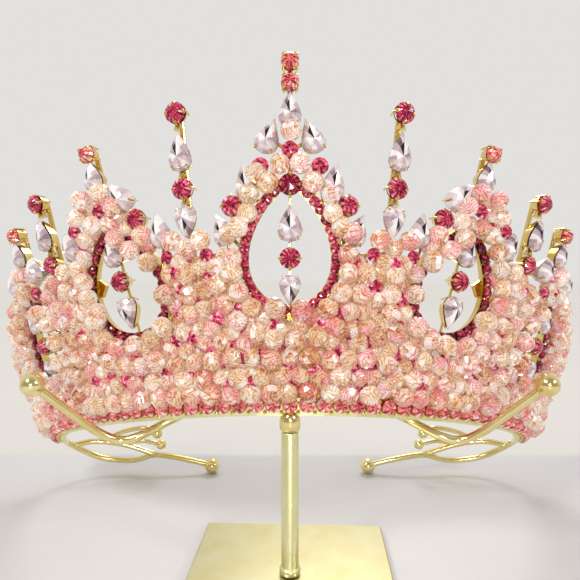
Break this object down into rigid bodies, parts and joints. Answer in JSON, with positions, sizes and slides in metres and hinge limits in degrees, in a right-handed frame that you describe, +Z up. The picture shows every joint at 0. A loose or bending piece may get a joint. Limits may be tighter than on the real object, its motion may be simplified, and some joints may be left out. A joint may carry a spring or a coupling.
{
  "type": "tiara on display stand",
  "caption": "Flared tiara of pale pink glass beads and pear-shaped gold arches with crystal drops, held at its front rim by a small gold display stand.",
  "frame": {"origin": "middle of the stand's base plate, on its underside", "axes": "+Z up, -Y towards the front of the tiara, +X to the right as seen from the front"},
  "size_m": [0.151, 0.0796, 0.1043],
  "materials": {
    "polished_gold": "polished, gold plated",
    "satin_gold": "satin, gold plated",
    "rose_crystal": "faceted, foiled rose glass",
    "clear_crystal": "faceted clear glass",
    "blush_bead": "faceted transparent blush glass"
  },
  "bodies": {
    "root": {"arch_centre_apex_stone": "rose_crystal", "arch_centre_drop_stone": "rose_crystal", "arch_centre_drop_teardrop_lower": "clear_crystal", "arch_centre_drop_teardrop_upper": "clear_crystal", "arch_centre_finial_teardrop": "clear_crystal", "arch_centre_frame": "polished_gold", "arch_middle_left_apex_stone": "rose_crystal", "arch_middle_left_drop_stone": "rose_crystal", "arch_middle_left_drop_teardrop_lower": "clear_crystal", "arch_middle_left_drop_teardrop_upper": "clear_crystal", "arch_middle_left_finial_teardrop": "clear_crystal", "arch_middle_left_frame": "polished_gold", "arch_middle_right_apex_stone": "rose_crystal", "arch_middle_right_drop_stone": "rose_crystal", "arch_middle_right_drop_teardrop_lower": "clear_crystal", "arch_middle_right_drop_teardrop_upper": "clear_crystal", "arch_middle_right_finial_teardrop": "clear_crystal", "arch_middle_right_frame": "polished_gold", "arch_outer_left_drop_stone": "rose_crystal", "arch_outer_left_drop_teardrop_lower": "clear_crystal", "arch_outer_left_drop_teardrop_upper": "clear_crystal", "arch_outer_left_finial_teardrop": "clear_crystal", "arch_outer_left_frame": "polished_gold", "arch_outer_right_drop_stone": "rose_crystal", "arch_outer_right_drop_teardrop_lower": "clear_crystal", "arch_outer_right_drop_teardrop_upper": "clear_crystal", "arch_outer_right_finial_teardrop": "clear_crystal", "arch_outer_right_frame": "polished_gold", "bead_wall_left": "blush_bead", "bead_wall_right": "blush_bead", "end_wire_left": "polished_gold", "end_wire_right": "polished_gold", "rim_band": "polished_gold", "spike_inner_left_middle_stone": "rose_crystal", "spike_inner_left_stem": "polished_gold", "spike_inner_left_teardrop_lower": "clear_crystal", "spike_inner_left_teardrop_upper": "clear_crystal", "spike_inner_left_top_stone": "rose_crystal", "spike_inner_right_middle_stone": "rose_crystal", "spike_inner_right_stem": "polished_gold", "spike_inner_right_teardrop_lower": "clear_crystal", "spike_inner_right_teardrop_upper": "clear_crystal", "spike_inner_right_top_stone": "rose_crystal", "spike_outer_left_lower_stone": "rose_crystal", "spike_outer_left_stem": "polished_gold", "spike_outer_left_teardrop": "clear_crystal", "spike_outer_left_top_stone": "rose_crystal", "spike_outer_right_lower_stone": "rose_crystal", "spike_outer_right_stem": "polished_gold", "spike_outer_right_teardrop": "clear_crystal", "spike_outer_right_top_stone": "rose_crystal", "stand_base_plate": "satin_gold", "stand_cradle": "polished_gold", "stand_post": "satin_gold"}
  },
  "joints": []
}
